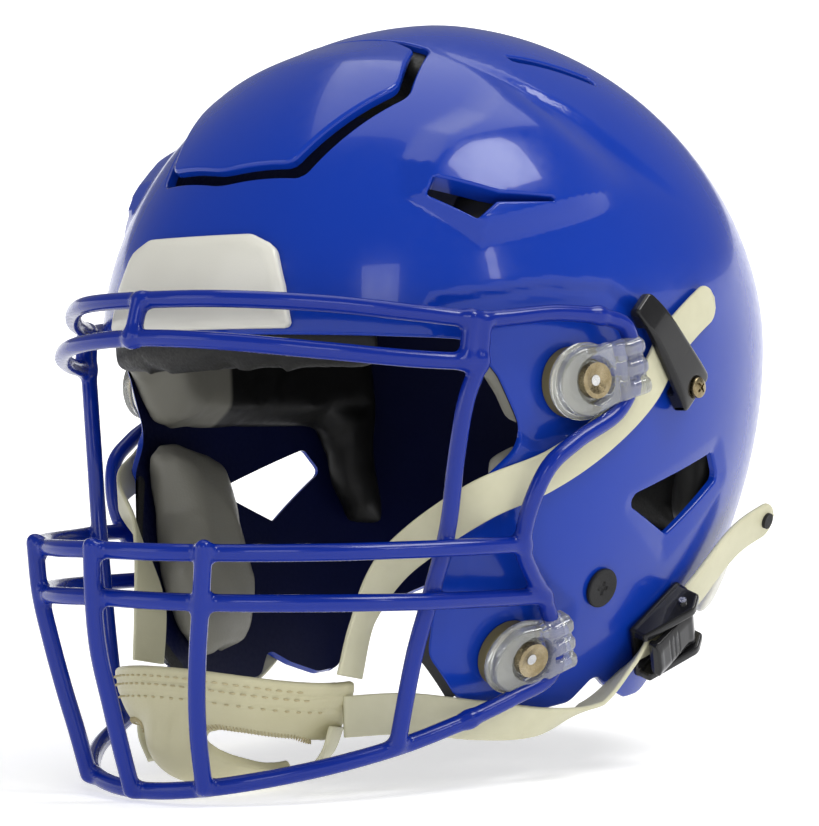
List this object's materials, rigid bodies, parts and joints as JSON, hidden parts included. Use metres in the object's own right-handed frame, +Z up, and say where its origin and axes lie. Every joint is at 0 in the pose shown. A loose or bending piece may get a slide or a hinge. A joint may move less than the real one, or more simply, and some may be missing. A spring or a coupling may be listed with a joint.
{
  "type": "american football helmet",
  "caption": "Moulded helmet with a flexing crown panel, wire face mask on quick-release clips, padded liner and a chin cup on buckled straps.",
  "frame": {"origin": "under the middle of the helmet, at the level of the bottom of the chin bar", "axes": "-Y towards the face, +X towards the wearer's left, +Z up towards the crown"},
  "size_m": [0.2512, 0.3435, 0.2922],
  "materials": {
    "shell": "glossy moulded polycarbonate with clear coat",
    "bumper": "semi gloss white rubbery moulding",
    "mask": "glossy powder-coated steel wire",
    "clip": "clear polycarbonate",
    "grommet": "olive brown rubber",
    "post": "turned and plated",
    "button": "satin",
    "tee_nut": "plated",
    "plug": "semi gloss black",
    "buckle": "semi gloss black moulded",
    "screw": "plated cross-head screw",
    "pin": "plated",
    "strap": "coated webbing, off-white",
    "rivet": "black",
    "cup": "cream vinyl, stitched",
    "trim": "matte black edge trim",
    "jaw_pad": "grey vinyl over foam",
    "liner": "black vinyl over foam"
  },
  "bodies": {
    "helmet": {"chin_cup": "cup", "clip_grommets": "grommet", "crown_pad": "liner", "front_bumper": "bumper", "front_pad": "liner", "jaw_pad_left": "jaw_pad", "jaw_pad_right": "jaw_pad", "jaw_plugs": "plug", "jaw_trim_left": "trim", "jaw_trim_right": "trim", "lower_buckle_left": "buckle", "lower_buckle_pin_left": "pin", "lower_buckle_pin_right": "pin", "lower_buckle_right": "buckle", "lower_clip_left": "clip", "lower_clip_right": "clip", "lower_post_left": "post", "lower_post_right": "post", "lower_strap_left": "strap", "lower_strap_right": "strap", "mask_brow_bar_lower": "mask", "mask_brow_bar_upper": "mask", "mask_brow_links": "mask", "mask_chin_bar": "mask", "mask_eye_bar_left": "mask", "mask_eye_bar_right": "mask", "mask_front_bar_centre": "mask", "mask_front_bar_left": "mask", "mask_front_bar_right": "mask", "mask_mouth_bar_lower": "mask", "mask_mouth_bar_upper": "mask", "mask_side_bar_left": "mask", "mask_side_bar_right": "mask", "rear_bumper": "bumper", "rear_pad": "liner", "shell": "shell", "side_pad_left": "liner", "side_pad_right": "liner", "strap_tail_rivets": "rivet", "tee_nuts": "tee_nut", "upper_buckle_left": "buckle", "upper_buckle_right": "buckle", "upper_buckle_screws": "screw", "upper_clip_left": "clip", "upper_clip_right": "clip", "upper_post_left": "post", "upper_post_right": "post", "upper_strap_left": "strap", "upper_strap_right": "strap"},
    "flex_panel": {"front_flex_panel": "shell"},
    "upper_button_left": {"upper_release_button_left": "button"},
    "upper_button_right": {"upper_release_button_right": "button"},
    "lower_button_left": {"lower_release_button_left": "button"},
    "lower_button_right": {"lower_release_button_right": "button"},
    "buckle_lever_left": {"lower_buckle_lever_left": "buckle"},
    "buckle_lever_right": {"lower_buckle_lever_right": "buckle"}
  },
  "joints": [
    {"name": "panel_flex", "type": "hinge", "parent": "helmet", "child": "flex_panel", "pos_m": [0, -0.03098, 0.28164], "axis": [1, 0, 0], "range_deg": [0, 1.5], "stiffness_Nm_per_rad": 40},
    {"name": "upper_push_left", "type": "slide", "parent": "helmet", "child": "upper_button_left", "axis": [-0.9718, 0.2307, 0.048], "range_m": [0, 0.0015], "stiffness_N_per_m": 800},
    {"name": "upper_push_right", "type": "slide", "parent": "helmet", "child": "upper_button_right", "axis": [0.9718, 0.2307, 0.048], "range_m": [0, 0.0015], "stiffness_N_per_m": 800},
    {"name": "lower_push_left", "type": "slide", "parent": "helmet", "child": "lower_button_left", "axis": [-0.9175, 0.2151, 0.3346], "range_m": [0, 0.0015], "stiffness_N_per_m": 800},
    {"name": "lower_push_right", "type": "slide", "parent": "helmet", "child": "lower_button_right", "axis": [0.9175, 0.2151, 0.3346], "range_m": [0, 0.0015], "stiffness_N_per_m": 800},
    {"name": "lever_open_left", "type": "hinge", "parent": "helmet", "child": "buckle_lever_left", "pos_m": [0.1029, 0.04745, 0.05493], "axis": [0.3274, -0.5923, 0.7362], "range_deg": [0, 60]},
    {"name": "lever_open_right", "type": "hinge", "parent": "helmet", "child": "buckle_lever_right", "pos_m": [-0.1029, 0.04745, 0.05493], "axis": [0.3274, 0.5923, -0.7362], "range_deg": [0, 60]}
  ]
}
